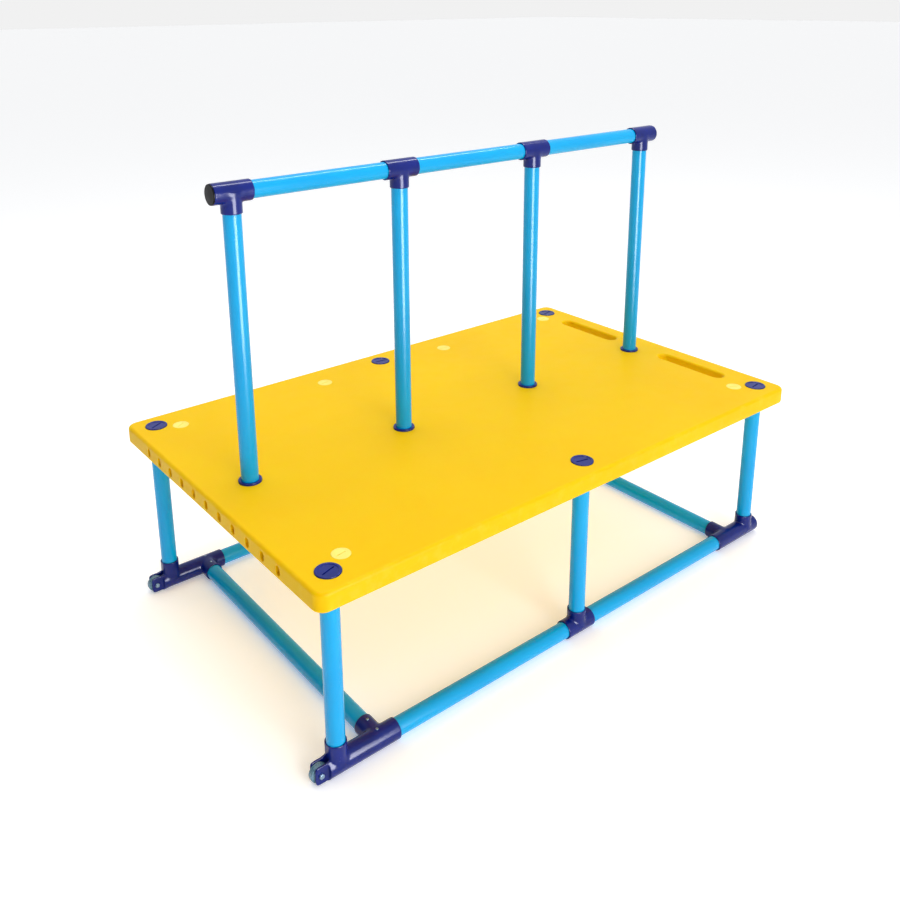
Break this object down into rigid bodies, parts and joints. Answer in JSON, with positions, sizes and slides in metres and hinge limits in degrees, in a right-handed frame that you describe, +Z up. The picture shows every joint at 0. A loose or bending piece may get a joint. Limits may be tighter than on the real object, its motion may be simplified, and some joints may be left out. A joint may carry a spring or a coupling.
{
  "type": "pool teaching platform",
  "caption": "Free-standing yellow pool platform on a blue tube frame, with a lift-off central handrail, small transport wheels at one end and hand holds at the other.",
  "frame": {"origin": "on the ground under the middle of the deck, which is the middle of the object's footprint", "axes": "+X along the deck from the wheels to the hand holds, +Y across the deck, +Z up"},
  "size_m": [1.605, 0.99, 1.2155],
  "materials": {
    "deck_yellow": "smooth moulded plastic, satin",
    "tube_blue": "extruded plastic, glossy",
    "fitting_navy": "moulded plastic, glossy",
    "cap_black": "moulded plastic, satin",
    "plug_pale_yellow": "moulded plastic, satin",
    "tyre_grey_blue": "translucent soft plastic, satin",
    "hub_grey_blue": "moulded plastic, satin",
    "bright_steel": "bright stainless steel"
  },
  "bodies": {
    "platform": {"axle_bolt_far": "bright_steel", "axle_bolt_near": "bright_steel", "axle_nut_far": "bright_steel", "axle_nut_near": "bright_steel", "base_corner_far": "fitting_navy", "base_corner_near": "fitting_navy", "base_tee_far": "fitting_navy", "base_tee_near": "fitting_navy", "base_tube_far_hand_end": "tube_blue", "base_tube_far_wheel_end": "tube_blue", "base_tube_near_hand_end": "tube_blue", "base_tube_near_wheel_end": "tube_blue", "cross_tube_hand_end": "tube_blue", "cross_tube_wheel_end": "tube_blue", "deck": "deck_yellow", "leg_cap_far_hand_end": "fitting_navy", "leg_cap_far_middle": "fitting_navy", "leg_cap_far_wheel_end": "fitting_navy", "leg_cap_near_hand_end": "fitting_navy", "leg_cap_near_middle": "fitting_navy", "leg_cap_near_wheel_end": "fitting_navy", "leg_far_hand_end": "tube_blue", "leg_far_middle": "tube_blue", "leg_far_wheel_end": "tube_blue", "leg_inserts": "fitting_navy", "leg_near_hand_end": "tube_blue", "leg_near_middle": "tube_blue", "leg_near_wheel_end": "tube_blue", "lock_screws": "bright_steel", "post_collar_1": "fitting_navy", "post_collar_2": "fitting_navy", "post_collar_3": "fitting_navy", "post_collar_4": "fitting_navy", "socket_plug_far_hand_end": "plug_pale_yellow", "socket_plug_far_hand_side": "plug_pale_yellow", "socket_plug_far_wheel_end": "plug_pale_yellow", "socket_plug_far_wheel_side": "plug_pale_yellow", "socket_plug_near_hand_end": "plug_pale_yellow", "socket_plug_near_wheel_end": "plug_pale_yellow", "wheel_foot_far": "fitting_navy", "wheel_foot_near": "fitting_navy"},
    "handrail": {"rail_end_cap_hand_end": "fitting_navy", "rail_end_cap_wheel_end": "cap_black", "rail_post_1": "tube_blue", "rail_post_2": "tube_blue", "rail_post_3": "tube_blue", "rail_post_4": "tube_blue", "rail_tee_1": "fitting_navy", "rail_tee_2": "fitting_navy", "rail_tee_3": "fitting_navy", "rail_tee_4": "fitting_navy", "rail_tube_1": "tube_blue", "rail_tube_2": "tube_blue", "rail_tube_3": "tube_blue"},
    "wheel_near": {"wheel_hub_near": "hub_grey_blue", "wheel_tyre_near": "tyre_grey_blue"},
    "wheel_far": {"wheel_hub_far": "hub_grey_blue", "wheel_tyre_far": "tyre_grey_blue"}
  },
  "joints": [
    {"name": "handrail_lift", "type": "slide", "parent": "platform", "child": "handrail", "axis": [0, 0, 1], "range_m": [0, 0.05]},
    {"name": "wheel_near_spin", "type": "hinge", "parent": "platform", "child": "wheel_near", "pos_m": [-0.784, -0.4325, 0.0245], "axis": [0, 1, 0], "continuous": true},
    {"name": "wheel_far_spin", "type": "hinge", "parent": "platform", "child": "wheel_far", "pos_m": [-0.784, 0.4325, 0.0245], "axis": [0, 1, 0], "continuous": true}
  ]
}
